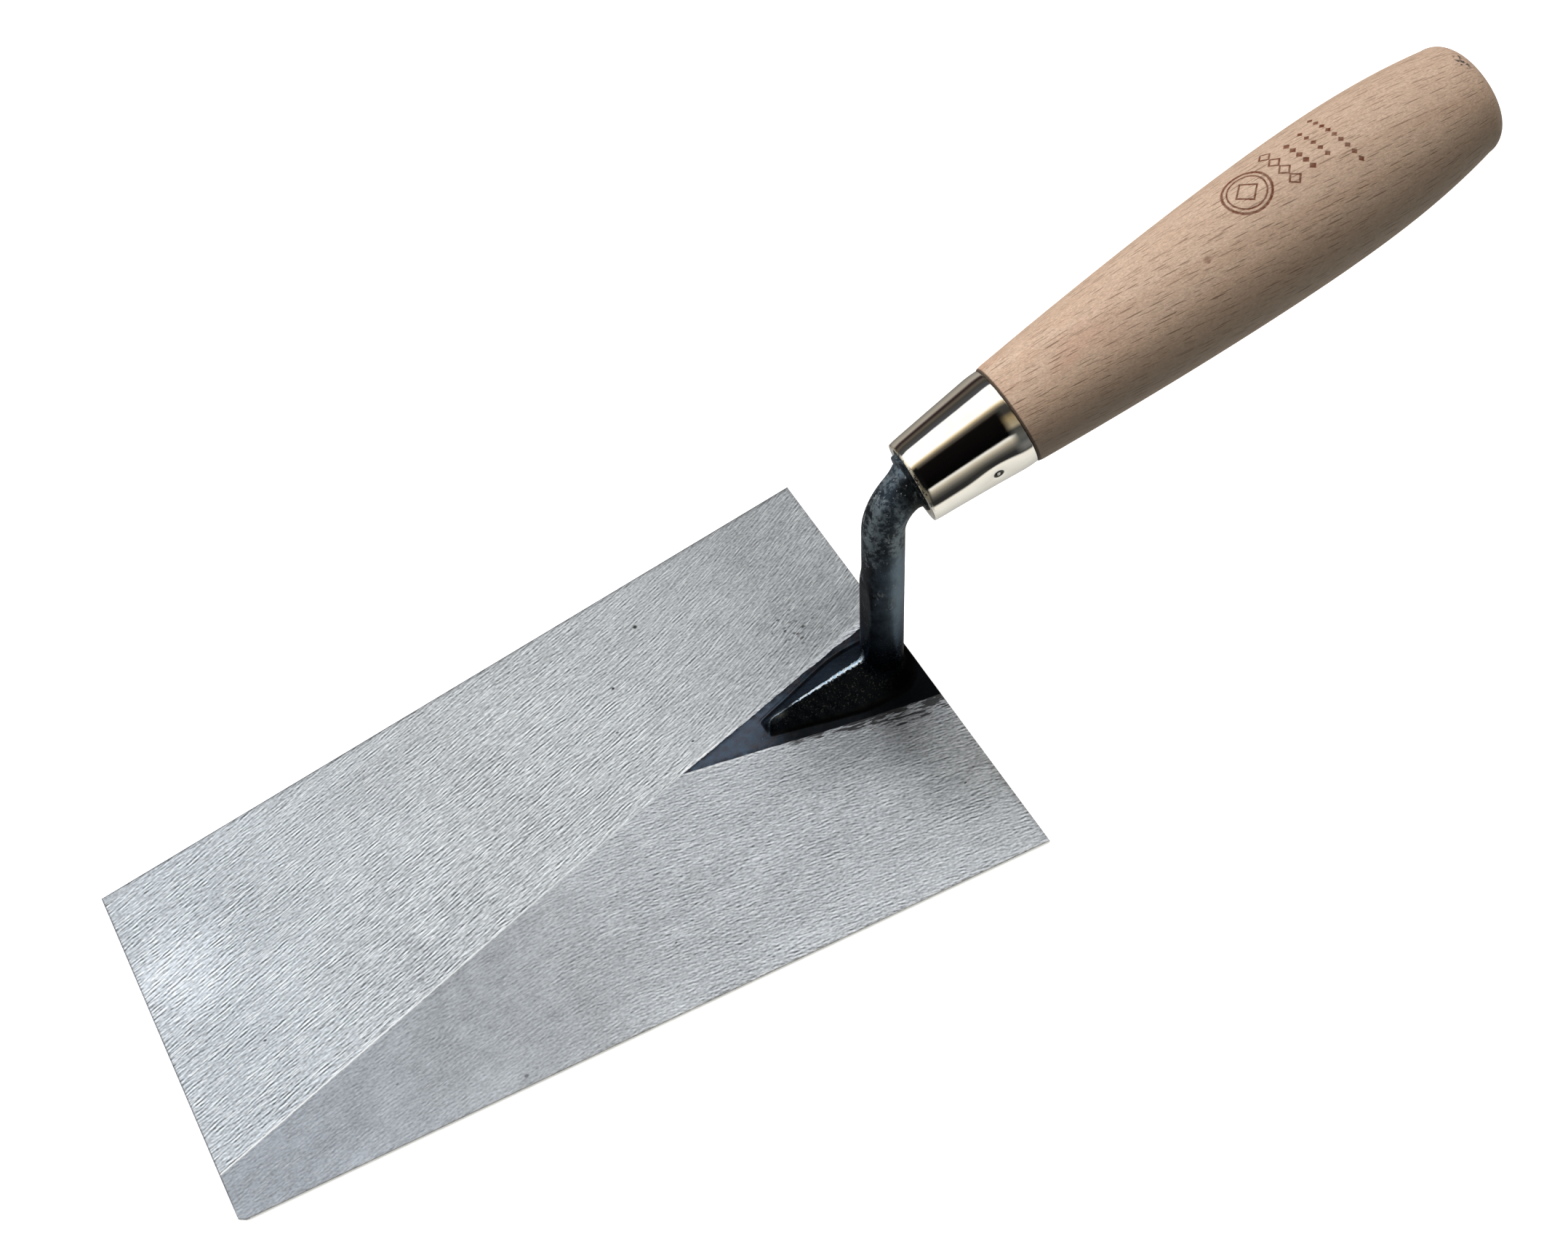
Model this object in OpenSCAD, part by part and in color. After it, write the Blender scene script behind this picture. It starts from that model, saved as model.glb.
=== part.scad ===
// Plastering trowel: forged steel blade, swan-neck shank, ferrule and turned handle.
// Frame: +Z up, +X from the blade towards the handle, +Y across the blade.
// The origin is the centre of the blade's flat working face, which lies on z = 0.
// All sizes are in millimetres and all angles in degrees.

/* [Blade] */
// Length of the blade, from heel to toe
blade_l = 200; // [180:5:220]
// Width of the blade across the heel, at the shank
heel_w = 126; // [110:1:140]
// Width of the blade across the toe
toe_w = 95; // [80:1:110]
// Thickness where the two ground facets meet, at the point of the spear
spear_tip_t = 1.4; // [1.35:0.05:1.5]
// Thickness of the ridge at the toe
ridge_toe_t = 0.9; // [0.85:0.05:1.0]
// Sideways offset of the ridge at the toe
ridge_toe_y = -35; // [-40:1:-30]
// Thickness at the heel's left corner
heel_left_t = 1.45; // [1.4:0.05:1.55]
// Thickness at the heel's right corner
heel_right_t = 0.8; // [0.75:0.05:0.9]

/* [Spear and boss] */
// Length of the spear-shaped tongue, from the heel to its point
spear_l = 64.5; // [55:0.5:75]
// Width of the tongue at the heel
spear_w = 29; // [26:0.5:32]
// Thickness of the blade left under the tongue
pocket_floor_t = 0.7; // [0.6:0.05:0.8]
// Length of the boss, from the heel to its nose
boss_l = 41; // [36:0.5:46]
// Gap between the back of the boss and the heel
boss_gap = 0.9; // [0.5:0.1:1.5]
// Width of the boss where the neck rises from it
boss_w = 19.2; // [17:0.2:21]
// Height of the boss's ridge above the working face, at the neck
boss_h = 9; // [7:0.2:11]
// Width of the boss's nose
nose_w = 5.2; // [4:0.2:7]
// Height of the boss's ridge above the working face, at the nose
nose_h = 4.6; // [3.5:0.1:6]
// Width of the flat along the boss's ridge
ridge_flat_w = 1; // [0.6:0.1:2]

/* [Neck] */
// Diameter of the neck
neck_d = 10.2; // [9:0.1:11.6]
// Distance of the neck's axis from the heel, at the blade's face
neck_inset = 8; // [7:0.1:10]
// Backward lean of the neck from upright
neck_lean = 5.6; // [0:0.1:10]
// Height at which the neck's axis and the handle's axis cross
corner_h = 63; // [50:0.1:80]
// Distance from that crossing to the front of the ferrule
ferrule_ahead = 7.8; // [7.5:0.1:10]
// Diameter of the forged shoulder
shoulder_d = 15; // [13:0.1:16]
// Thickness of the shoulder in front of the ferrule
shoulder_t = 0.8; // [0.6:0.1:1.2]

/* [Tang] */
// Length of the tang inside the handle
tang_l = 72; // [50:1:90]
// Width of the square tang at the shoulder
tang_root_w = 8.4; // [7:0.1:9]
// Width of the square tang at its end
tang_end_w = 3.6; // [3:0.1:5]

/* [Ferrule] */
// Length of the ferrule
ferrule_l = 26.3; // [22:0.1:32]
// Outer diameter of the ferrule at the neck
ferrule_front_d = 19.9; // [19.4:0.1:21]
// Outer diameter of the ferrule at the wood
ferrule_rear_d = 25.2; // [24:0.1:27]
// Wall thickness of the ferrule
ferrule_t = 0.8; // [0.6:0.05:1.0]
// Radius of the rolled front edge
ferrule_edge_r = 0.7; // [0.4:0.05:0.8]
// Diameter of the opening in the ferrule's front
ferrule_mouth_d = 16.4; // [16.2:0.1:17]

/* [Pin] */
// Distance of the pin from the front of the ferrule
pin_at = 16.6; // [10:0.1:20]
// Angle of the pin round the handle, downwards from the -Y side
pin_turn = 4; // [-10:1:10]
// Diameter of the pin
pin_d = 1.5; // [1.2:0.1:2]
// Length of the pin below its head
pin_l = 6; // [5:0.5:7]
// Diameter of the pin's head
pin_head_d = 2.6; // [2.2:0.1:3]
// Thickness of the pin's head
pin_head_t = 0.6; // [0.4:0.05:0.7]

/* [Handle] */
// Length of the wood behind the ferrule
grip_l = 129.4; // [115:0.1:150]
// Largest diameter of the handle
grip_d = 34.4; // [32:0.1:38]
// Distance of the largest diameter from the front of the ferrule
grip_d_at = 108.5; // [95:0.5:112]
// Diameter of the handle where its end starts to round over
butt_d = 27.7; // [25:0.1:30]
// Length of the rounded end
butt_round = 6; // [4:0.1:8]
// Tilt of the handle above the plane of the blade
grip_tilt = 13; // [5:0.5:20]

/* [Hidden] */
$fn = 96;
blend_fn = 32;        // facets round the ends of the blended boss
eps = 0.02;           // overlap between the solids of one piece
bend_swell = 0.12;    // extra thickness of the forged bend
bend_lap = 0.4;       // overlap between the bend and the straight neck
bend_end = 0.6;       // how far the bend runs on inside the shoulder
tang_lead = 0.5;      // overlap between the tang and the shoulder
side = 400;           // size of the solid that stands for a half-space

// Points that the blade's two ground facets pass through
spear_tip = [blade_l / 2 - spear_l, 0, spear_tip_t];
ridge_toe = [-blade_l / 2, ridge_toe_y, ridge_toe_t];
heel_left = [blade_l / 2, heel_w / 2, heel_left_t];
heel_right = [blade_l / 2, -heel_w / 2, heel_right_t];

// Neck and handle axes, in the plane y = 0
bend = 90 - neck_lean - grip_tilt;
bend_reach = ferrule_ahead + bend_end;
bend_r = bend_reach / tan(bend / 2);
up_neck = [sin(neck_lean), 0, cos(neck_lean)];
along_grip = [cos(grip_tilt), 0, sin(grip_tilt)];
neck_foot = [blade_l / 2 - neck_inset, 0, spear_tip_t];
corner = neck_foot + up_neck * (corner_h - spear_tip_t) / cos(neck_lean);
bend_start = corner - up_neck * bend_reach;
bend_centre = bend_start + bend_r * [cos(neck_lean), 0, -sin(neck_lean)];
grip_start = corner + along_grip * ferrule_ahead;

// Handle outline
wood_front = ferrule_t;
grip_end = ferrule_l + grip_l;
front_swell = 1.6;    // exponent of the swell from the ferrule to the largest diameter
butt_swell = 2.5;     // exponent of the taper from there to the butt
swell_steps = 14;
butt_face_share = 0.5;   // radius of the butt's flatter face, as a share of the butt's
butt_crown = 0.4;     // rise of that face's middle

// Radius of the ferrule's outside at a distance from its front
function ferrule_r(s) =
    (ferrule_front_d + (ferrule_rear_d - ferrule_front_d) * s / ferrule_l) / 2;

// Radius of the wood at a distance from the front of the ferrule
function grip_r(s) =
    s < grip_d_at
    ? grip_d / 2 - (grip_d - ferrule_rear_d) / 2
        * pow((grip_d_at - s) / (grip_d_at - ferrule_l), front_swell)
    : grip_d / 2 - (grip_d - butt_d) / 2
        * pow((s - grip_d_at) / (grip_end - butt_round - grip_d_at), butt_swell);

// Half-space below the plane through three points, listed anticlockwise seen from above
module below_plane(a, b, c) {
    n = cross(b - a, c - a);
    translate(a)
        rotate([0, acos(n.z / norm(n)), atan2(n.y, n.x)])
            translate([-side / 2, -side / 2, -side]) cube(side);
}

// Places its children on the handle's axis, with z = 0 at the front of the ferrule
module on_grip_axis() {
    translate(grip_start) rotate([0, 90 - grip_tilt, 0]) children();
}

// Keeps what is under both ground facets of the blade
module under_facets() {
    intersection() {
        children();
        below_plane(spear_tip, heel_left, ridge_toe);
        below_plane(spear_tip, ridge_toe, heel_right);
    }
}

// Outline of the spear-shaped tongue, seen from above
module spear_outline() {
    polygon([
        [blade_l / 2, -spear_w / 2],
        [blade_l / 2, spear_w / 2],
        [blade_l / 2 - spear_l, 0]
    ]);
}

// Ground plate with a pocket for the shank's tongue
module blade() {
    color("silver")
    difference() {
        under_facets()
            linear_extrude(5)
                polygon([
                    [-blade_l / 2, -toe_w / 2],
                    [blade_l / 2, -heel_w / 2],
                    [blade_l / 2, heel_w / 2],
                    [-blade_l / 2, toe_w / 2]
                ]);
        translate([0, 0, pocket_floor_t]) linear_extrude(5) spear_outline();
    }
}

// Roof-shaped boss between the tongue and the neck
module boss() {
    rear_r = boss_w / 2;
    nose_r = nose_w / 2;
    hull() {
        translate([blade_l / 2 - boss_gap - rear_r, 0, pocket_floor_t + eps])
            cylinder(h = boss_h - pocket_floor_t, r1 = rear_r, r2 = ridge_flat_w / 2, $fn = blend_fn);
        translate([blade_l / 2 - boss_l + nose_r, 0, pocket_floor_t + eps])
            cylinder(h = nose_h - pocket_floor_t, r1 = nose_r, r2 = ridge_flat_w / 2, $fn = blend_fn);
    }
}

// Square tang that tapers evenly in both directions, rooted in the shoulder
module tang() {
    module taper()
        translate([0, tang_root_w / 2, 0]) rotate([90, 0, 0])
            linear_extrude(tang_root_w)
                polygon([
                    [-tang_root_w / 2, -tang_lead],
                    [tang_root_w / 2, -tang_lead],
                    [tang_root_w / 2, 0],
                    [tang_end_w / 2, tang_l],
                    [-tang_end_w / 2, tang_l],
                    [-tang_root_w / 2, 0]
                ]);
    translate([0, 0, wood_front])
        intersection() {
            taper();
            rotate([0, 0, 90]) taper();
        }
}

// Tongue, boss, neck, shoulder and tang: the dark forged piece
module shank() {
    color("dimgray")
    union() {
        under_facets()
            translate([0, 0, pocket_floor_t]) linear_extrude(5) spear_outline();
        boss();
        // Straight neck
        translate(neck_foot)
            rotate([0, neck_lean, 0])
                cylinder(h = norm(bend_start - neck_foot) + bend_lap, d = neck_d);
        // Bend towards the handle
        translate(bend_centre)
            rotate([90, 0, 0]) rotate([0, 0, 90 + grip_tilt])
                rotate_extrude(angle = bend)
                    translate([bend_r, 0]) circle(d = neck_d + bend_swell);
        // Shoulder, which hides the end of the bend, and tang
        on_grip_axis() {
            translate([0, 0, -shoulder_t])
                cylinder(h = shoulder_t + wood_front, d = shoulder_d);
            tang();
        }
    }
}

// Conical tube with a rolled front edge and a hole for the pin
module ferrule() {
    color("gainsboro")
    on_grip_axis() difference() {
        rotate_extrude()
            polygon(concat(
                [[ferrule_mouth_d / 2, 0]],
                [for (a = [0 : 15 : 90])
                    [ferrule_r(ferrule_edge_r) - ferrule_edge_r * (1 - sin(a)),
                     ferrule_edge_r * (1 - cos(a))]],
                [[ferrule_r(ferrule_l), ferrule_l],
                 [ferrule_r(ferrule_l) - ferrule_t, ferrule_l],
                 [ferrule_r(ferrule_t) - ferrule_t, ferrule_t],
                 [ferrule_mouth_d / 2, ferrule_t]]
            ));
        pin_axis() translate([0, 0, -pin_l]) cylinder(h = 2 * pin_l, d = pin_d);
        pin_axis() translate([0, 0, 0]) cylinder(h = pin_l, d = pin_head_d);
    }
}

// Places its children on the pin's axis, with z = 0 under the pin's head
module pin_axis() {
    head_seat = ferrule_r(pin_at) - ferrule_t / 2;
    rotate([0, 0, pin_turn]) translate([0, -head_seat, pin_at]) rotate([90, 0, 0]) children();
}

// Small brad that keeps the ferrule on the wood
module ferrule_pin() {
    color("darkgray")
    on_grip_axis() pin_axis() {
        translate([0, 0, -pin_l]) cylinder(h = pin_l, d = pin_d);
        cylinder(h = pin_head_t, d = pin_head_d);
    }
}

// Turned handle, bored for the tang and the pin
module handle() {
    butt_start = grip_end - butt_round;
    butt_r = grip_r(butt_start);
    face_r = butt_r * butt_face_share;
    color("burlywood")
    on_grip_axis() difference() {
        rotate_extrude()
            polygon(concat(
                [[0, wood_front],
                 [ferrule_r(wood_front) - ferrule_t, wood_front],
                 [ferrule_r(ferrule_l) - ferrule_t, ferrule_l]],
                [for (i = [0 : swell_steps])
                    let (s = ferrule_l + (grip_d_at - ferrule_l) * i / swell_steps)
                    [grip_r(s), s]],
                [for (i = [1 : swell_steps])
                    let (s = grip_d_at + (butt_start - grip_d_at) * i / swell_steps)
                    [grip_r(s), s]],
                [for (a = [15 : 15 : 90])
                    [face_r + (butt_r - face_r) * cos(a),
                     butt_start + (butt_round - butt_crown) * sin(a)]],
                [[0, grip_end]]
            ));
        tang();
        pin_axis() translate([0, 0, -pin_l]) cylinder(h = 2 * pin_l, d = pin_d);
    }
}

blade();
shank();
ferrule();
ferrule_pin();
handle();
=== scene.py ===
import math

import bpy
import numpy as np
from mathutils import Matrix, Vector


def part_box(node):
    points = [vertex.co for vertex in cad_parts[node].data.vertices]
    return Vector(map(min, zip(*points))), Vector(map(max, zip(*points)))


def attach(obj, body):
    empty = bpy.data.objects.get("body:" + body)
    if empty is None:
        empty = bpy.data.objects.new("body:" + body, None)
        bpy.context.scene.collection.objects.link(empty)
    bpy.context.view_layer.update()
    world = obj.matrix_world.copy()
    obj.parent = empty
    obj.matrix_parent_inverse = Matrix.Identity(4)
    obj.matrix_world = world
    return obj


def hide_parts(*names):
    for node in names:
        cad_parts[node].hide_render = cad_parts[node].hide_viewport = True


MM = 0.001
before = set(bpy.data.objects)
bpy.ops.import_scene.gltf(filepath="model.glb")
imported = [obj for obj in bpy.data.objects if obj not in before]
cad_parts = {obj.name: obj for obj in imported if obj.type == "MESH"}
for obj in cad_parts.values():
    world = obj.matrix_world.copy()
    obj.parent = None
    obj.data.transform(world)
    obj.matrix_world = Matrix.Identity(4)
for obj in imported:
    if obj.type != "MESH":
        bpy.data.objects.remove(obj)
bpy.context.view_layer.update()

# ---------------------------------------------------------------- sizes shared with the CAD, in mm
HEEL_HALF, TOE_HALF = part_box("blade")[1].y / MM, 47.5
HEEL_X, TOE_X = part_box("blade")[1].x / MM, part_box("blade")[0].x / MM
TIP_X, SPEAR_HALF = 35.5, 14.5                              # the tongue's tip, and its half-width at the heel
RIDGE_TOE = (-100.0, -35.0, 0.9)
SPEAR_TIP = (TIP_X, 0.0, 1.4)
HEEL_LEFT = (100.0, 63.0, 1.45)
HEEL_RIGHT = (100.0, -63.0, 0.8)
TILT, LEAN = math.radians(13), math.radians(5.6)            # the handle from level, and the neck from upright
Y_AXIS = np.array([0.0, 1.0, 0.0])
UP_NECK = np.array([math.sin(LEAN), 0, math.cos(LEAN)])
ALONG = np.array([math.cos(TILT), 0, math.sin(TILT)])
DOWN = np.array([math.sin(TILT), 0, -math.cos(TILT)])       # across the handle, downwards
NECK_FOOT, CORNER_Z = np.array([92.0, 0.0, 1.4]), 63.0
CORNER = NECK_FOOT + UP_NECK * (CORNER_Z - NECK_FOOT[2]) / math.cos(LEAN)   # where the two axes cross
GRIP_START = CORNER + ALONG * 7.8
NECK_R = 5.1
FERRULE_L, FERRULE_R0, FERRULE_R1 = 26.3, 9.95, 12.6
PIN_AT, PIN_ANGLE = 16.6, math.radians(-86)
GRIP_R, GRIP_AT, GRIP_END = 17.2, 108.5, FERRULE_L + 129.4  # thickest, where that is, and the far end
BUTT_R, BUTT_ROUND = 13.85, 6.0
TANG_FROM, TANG_TO, TANG_W0, TANG_W1 = 0.8, 72.8, 8.4, 3.6
DENT_AT, DENT_ANGLE = 79.5, math.radians(-155)
CIRCLE = 2 * math.pi                                        # all the way round, in radians


def ease(t):
    return t * t * (3 - 2 * t)


def soft_min(a, b, k):
    """The smaller of two values, with the corner between them rounded off over about k."""
    return 0.5 * (a + b - np.sqrt((a - b) ** 2 + k ** 2))


def angles(n):
    return np.linspace(0, CIRCLE, n, endpoint=False)


def wrapped(a):
    """An angle brought to between -pi and pi."""
    return np.angle(np.exp(1j * a))


def noise1(x, seed, octaves=3, period=None):
    """Smooth repeatable noise of one variable, about -1 to 1."""
    rng = np.random.default_rng(seed)
    table = rng.uniform(-1, 1, 4096)
    x = np.asarray(x, float)
    out, amp, total = np.zeros_like(x), 1.0, 0.0
    for o in range(octaves):
        f = 2 ** o
        p = x * f
        i = np.floor(p).astype(int)
        n = len(table) if period is None else int(period * f)
        a, b = table[(i % n) % len(table)], table[((i + 1) % n) % len(table)]
        out += amp * (a + (b - a) * ease(p - i))
        total += amp
        amp *= 0.5
    return out / total


def place(name, data):
    """An object in the scene."""
    ob = bpy.data.objects.new(name, data)
    bpy.context.scene.collection.objects.link(ob)
    return ob


def make(name, verts, faces, sharp=math.radians(40)):
    """Mesh object from points in mm."""
    me = bpy.data.meshes.new(name)
    me.from_pydata((np.asarray(verts, float) * MM).tolist(), [], [tuple(int(i) for i in f) for f in faces])
    me.validate()
    me.update()
    for p in me.polygons:
        p.use_smooth = True
    me.set_sharp_from_angle(angle=sharp)
    return place(name, me)


def band(a, b, flip=False, wrap=True):
    """Quads between two rows of point numbers."""
    n, quads = len(a), []
    for k in range(n if wrap else n - 1):
        m = (k + 1) % n
        quads.append((a[k], b[k], b[m], a[m]) if flip else (a[k], a[m], b[m], b[k]))
    return quads


def strip(rows, cols, flip=False, wrap=True):
    """Quads of a rows x cols grid of points, closed round the columns if wrap."""
    row = [range(i * cols, (i + 1) * cols) for i in range(rows)]
    return [quad for a, b in zip(row, row[1:]) for quad in band(a, b, flip, wrap)]


def rim_of(rows, cols):
    """Point numbers round the edge of a rows x cols grid."""
    right = [(rows - 1) * cols + j for j in range(1, cols)]
    far = [i * cols + cols - 1 for i in range(rows - 2, -1, -1)]
    return [i * cols for i in range(rows)] + right + far + list(range(cols - 2, 0, -1))


# ---------------------------------------------------------------- blade
def plane_z(p, q, r):
    p, q, r = (np.array(v, float) for v in (p, q, r))
    n = np.cross(q - p, r - p)
    return lambda x, y: p[2] - (n[0] * (x - p[0]) + n[1] * (y - p[1])) / n[2]


left_z = plane_z(SPEAR_TIP, HEEL_LEFT, RIDGE_TOE)
right_z = plane_z(SPEAR_TIP, RIDGE_TOE, HEEL_RIGHT)


def top_z(x, y):
    """The blade's top: two ground facets that meet in a slightly rounded ridge."""
    return soft_min(left_z(x, y), right_z(x, y), 0.006)


def blade_half(x):
    return TOE_HALF + (HEEL_HALF - TOE_HALF) * (x - TOE_X) / (HEEL_X - TOE_X)


def build_blade():
    nx, ny = 161, 97

    def ring_point(k, inset):
        u, v = us[k // ny], vs[k % ny]
        x = TOE_X + inset + (HEEL_X - TOE_X - 2 * inset) * u
        y = v * (blade_half(x) - inset)
        # the toe's right corner has been knocked off
        short = max(0.0, 1 - (x - TOE_X) / 1.85 - (y + blade_half(x)) / 1.03)
        return x + 0.92 * short, y + 0.51 * short

    us = np.linspace(0, 1, nx)
    vs = np.linspace(-1, 1, ny)
    top = [ring_point(k, 0.22) for k in range(nx * ny)]
    verts = [(x, y, top_z(x, y) - 0.004) for x, y in top]
    faces = strip(nx, ny, flip=True, wrap=False)
    loop = rim_of(nx, ny)
    ring = loop
    # rings down the edge: how far in from the outline, and how high for the blade's top at z
    for inset, height in ((0.06, lambda z: z - 0.05), (0.0, lambda z: z - 0.2), (0.0, lambda z: 0.16),
                          (0.08, lambda z: 0.03), (0.2, lambda z: 0.0)):
        below = range(len(verts), len(verts) + len(loop))
        for x, y in (ring_point(k, inset) for k in loop):
            verts.append((x, y, height(float(top_z(x, y)))))
        faces += band(ring, below, flip=True)
        ring = below
    faces.append(tuple(reversed(ring)))
    return make("blade_plate", verts, faces, sharp=math.radians(50))


# ---------------------------------------------------------------- shank: tongue, boss, neck, shoulder and tang
def spear_half(u):
    """Half-width of the tongue at u mm in front of the heel: its sides bow out a little."""
    t = np.clip(1 - u / (HEEL_X - TIP_X), 0, 1)
    return SPEAR_HALF * t * (1 + 0.22 * t * (1 - t))


def tongue_mesh():
    """The tongue: its edges are slightly ragged, and it stands a little proud of the plate."""
    length = HEEL_X - TIP_X
    n, m = 230, 54
    verts = []
    for k, u in enumerate(np.linspace(0, length, n)):
        fade = min(1, (length - u) / 6)
        left = spear_half(u) + fade * (0.22 * noise1(u / 3.1, 11) + 0.10 * noise1(u / 0.7, 12))
        right = spear_half(u) + fade * (0.12 * noise1(u / 3.7, 13) + 0.06 * noise1(u / 0.8, 14))
        x = HEEL_X - u
        for v in np.linspace(-1, 1, m):
            half = max(left if v > 0 else right, 0.03)
            y = v * half
            edge = 1 - abs(v)
            lift = 0.07 * min(1, edge * half / 0.5) + 0.012 * noise1(x / 4 + 9.0, 21) * min(1, edge * 4)
            # the low step that the die leaves round the foot of the boss
            lift += 0.10 * float(np.clip((roof(x, y) + 0.95) / 0.22, 0, 1)) * min(1, edge * half / 0.4)
            verts.append((x if k else x - 0.05, y, float(top_z(x, y)) + lift - 0.01))
    faces = strip(n, m, wrap=False)
    loop = rim_of(n, m)
    below = range(len(verts), len(verts) + len(loop))
    verts += [(verts[i][0], verts[i][1], 0.7) for i in loop]
    faces += band(loop, below) + [tuple(below)]
    return np.array(verts), faces


def surface_nets(f, origin, h):
    """Quads round the zero level of a grid of values that are negative inside."""
    inside = f < 0
    nx, ny, nz = f.shape
    total = np.zeros((nx - 1, ny - 1, nz - 1, 3))
    count = np.zeros((nx - 1, ny - 1, nz - 1))
    for axis in range(3):
        others = [a for a in range(3) if a != axis]
        lo, hi = [slice(None)] * 3, [slice(None)] * 3
        lo[axis], hi[axis] = slice(0, -1), slice(1, None)
        a, b = f[tuple(lo)], f[tuple(hi)]
        cross = (a < 0) != (b < 0)
        t = np.where(cross, a / np.where(cross, a - b, 1), 0)
        for da in (0, 1):
            for db in (0, 1):
                pick = [slice(None)] * 3
                pick[others[0]] = slice(da, f.shape[others[0]] - 1 + da)
                pick[others[1]] = slice(db, f.shape[others[1]] - 1 + db)
                c, tt = cross[tuple(pick)], t[tuple(pick)]
                offset = [0.0, 0.0, 0.0]
                offset[others[0]], offset[others[1]] = float(da), float(db)
                for k in range(3):
                    total[..., k] += np.where(c, tt if k == axis else offset[k], 0)
                count += c
    cells = np.argwhere(count > 0)
    index = -np.ones(count.shape, int)
    index[tuple(cells.T)] = np.arange(len(cells))
    local = total[tuple(cells.T)] / count[tuple(cells.T)][:, None]
    verts = np.asarray(origin) + (cells + local) * h
    faces = []
    for axis in range(3):
        o1, o2 = [(1, 2), (2, 0), (0, 1)][axis]
        lo, hi = [slice(None)] * 3, [slice(None)] * 3
        lo[axis], hi[axis] = slice(0, -1), slice(1, None)
        a, b = inside[tuple(lo)], inside[tuple(hi)]
        edges = np.argwhere(a != b)
        for o in (o1, o2):
            edges = edges[(edges[:, o] > 0) & (edges[:, o] < f.shape[o] - 1)]
        outward = a[tuple(edges.T)]
        quad = []
        for d1, d2 in ((0, 0), (1, 0), (1, 1), (0, 1)):
            c = edges.copy()
            c[:, o1] -= 1 - d1
            c[:, o2] -= 1 - d2
            quad.append(index[tuple(c.T)])
        quad = np.array(quad).T
        quad[~outward] = quad[~outward][:, ::-1]
        faces.append(quad)
    return verts, np.concatenate(faces)


def roof(x, y):
    """Height of the roof-shaped boss above the tongue, negative outside its foot."""
    u = HEEL_X - x
    # its ridge, half-width and blunt crest at each distance from the heel
    ridge = np.interp(u, [-2, 8, 12.8, 23.5, 39.1, 45], [8.8, 8.4, 7.85, 6.2, 3.6, 2.7])
    half = np.interp(u, [6, 9, 13.4, 18.6, 26, 33.5, 39, 42], [9.7, 9.9, 9.7, 8.7, 6.6, 4.4, 2.9, 2.2])
    crown = np.interp(u, [10, 16, 30, 40], [0.85, 0.70, 0.40, 0.30])
    side = np.sqrt(y ** 2 + crown ** 2) - 0.6 * crown
    slope = ridge * (1 - side / half)
    # it ends in a cone round the neck at the back, and in a hip at the nose
    back = np.sqrt(np.maximum(8.6 - u, 0) ** 2 * 1.25 + y ** 2 + 0.12)
    cone = 8.4 * (1 - back / 9.75)
    hip = (41.5 - u) * 1.9
    return soft_min(soft_min(cone, slope, 0.7) + 0.12, hip, 1.3)


def boss_height(x, y):
    """The roof with a small fillet round its foot."""
    h = roof(x, y)
    return 0.5 * (h + np.sqrt(h ** 2 + 0.5 ** 2)) - 0.004


def neck_radius(ang, height):
    """Radius of the neck at an angle from its toe side (0) and a height above the blade along its axis."""
    low = ease(np.clip((39.0 - height) / 5.0, 0, 1))
    front = np.exp(-(wrapped(ang) / 1.15) ** 4)
    r = NECK_R + 0.5 * low * front
    # a crescent-shaped flat hammered on the toe side of the swollen part
    depth = 0.72 * np.sin(math.pi * np.clip((height - 13.0) / 25.0, 0, 1)) ** 0.8
    flat = (NECK_R + 0.5 * low - depth) / np.maximum(np.cos(ang), 0.2)
    return np.where(depth > 0, soft_min(r, flat, 0.03), r)


def boss_mesh():
    """The boss and the foot of the neck, as one surface through a grid of distances."""
    h = 0.27
    x = np.arange(56.5, 101.5, h)
    y = np.arange(-11.6, 11.6, h)
    z = np.arange(0.9, 17.0, h)
    X, Y, Z = np.meshgrid(x, y, z, indexing="ij")
    plan = X[:, :, :1], Y[:, :, :1]
    up = Z - top_z(*plan)
    rough = 0.05 * np.sin(X * 0.9 + 1.3 * np.sin(Y * 0.7)) * np.cos(Y * 0.8 + 0.4)
    rough += 0.03 * np.sin(X * 2.3 + Y * 1.7)
    field = (up - boss_height(*plan) + rough * np.clip(up / 2, 0, 1)) * 0.78
    d = np.stack([X, Y, Z], -1) - NECK_FOOT
    along = d @ UP_NECK
    ang = np.arctan2(d[..., 1], -(d @ np.cross(Y_AXIS, UP_NECK)))
    neck = np.sqrt(np.maximum((d ** 2).sum(-1) - along ** 2, 0)) - neck_radius(ang, along)
    # the two are blended over k, and cut off just short of the heel
    k = 1.5
    mix = np.clip(0.5 + 0.5 * (neck - field) / k, 0, 1)
    f = neck * (1 - mix) + field * mix - k * mix * (1 - mix)
    f = np.maximum(f, X - (HEEL_X - 0.35))
    verts, faces = surface_nets(f, (x[0], y[0], z[0]), h)
    above = verts[:, 2] - top_z(verts[:, 0], verts[:, 1])
    faces = faces[(above[faces] > 0.075).any(1) & (verts[faces][:, :, 2] < 16.5).all(1)]
    used = np.unique(faces)
    return verts[used], np.searchsorted(used, faces)


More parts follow.
